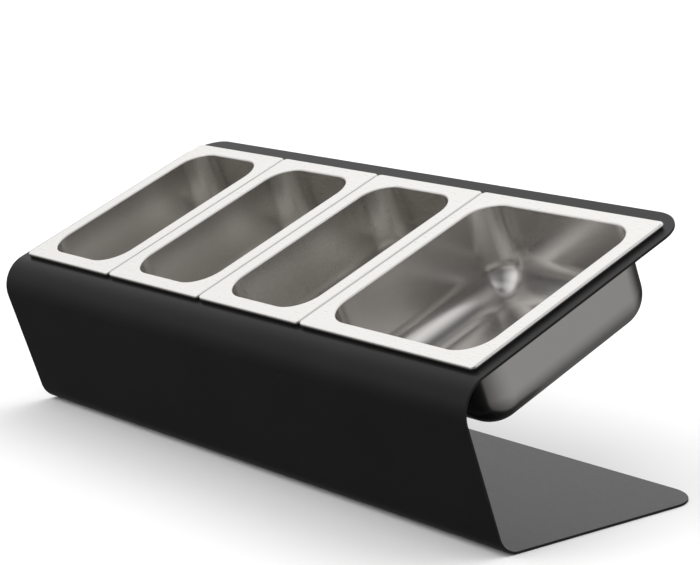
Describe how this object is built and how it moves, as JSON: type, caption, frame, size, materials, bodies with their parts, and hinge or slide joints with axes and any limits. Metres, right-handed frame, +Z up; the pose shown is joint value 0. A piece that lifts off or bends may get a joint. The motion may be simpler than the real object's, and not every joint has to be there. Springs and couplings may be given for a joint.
{
  "type": "condiment caddy",
  "caption": "Serving stand folded from one black sheet, with a sloping deck that carries lift-out steel food pans by their rims.",
  "frame": {"origin": "on the standing surface, under the middle of the whole object's bounding box", "axes": "+X along the stand's width with the wide pan at the +X end, +Y towards the raised back of the deck, +Z up"},
  "size_m": [0.5048, 0.2106, 0.1863],
  "materials": {
    "powder_coat": "fine satin black powder coat on steel sheet",
    "pan_steel": "satin stainless steel, deep drawn, with brighter flat rims"
  },
  "bodies": {
    "stand": {"stand": "powder_coat"},
    "ninth_pan_left": {"ninth_pan_left": "pan_steel"},
    "ninth_pan_middle": {"ninth_pan_middle": "pan_steel"},
    "ninth_pan_right": {"ninth_pan_right": "pan_steel"},
    "sixth_pan": {"sixth_pan": "pan_steel"}
  },
  "joints": [
    {"name": "lift_ninth_pan_left", "type": "slide", "parent": "stand", "child": "ninth_pan_left", "axis": [0, -0.3835, 0.9235], "range_m": [0, 0.08]},
    {"name": "lift_ninth_pan_middle", "type": "slide", "parent": "stand", "child": "ninth_pan_middle", "axis": [0, -0.3835, 0.9235], "range_m": [0, 0.08]},
    {"name": "lift_ninth_pan_right", "type": "slide", "parent": "stand", "child": "ninth_pan_right", "axis": [0, -0.3835, 0.9235], "range_m": [0, 0.08]},
    {"name": "lift_sixth_pan", "type": "slide", "parent": "stand", "child": "sixth_pan", "axis": [0, -0.3835, 0.9235], "range_m": [0, 0.08]}
  ]
}
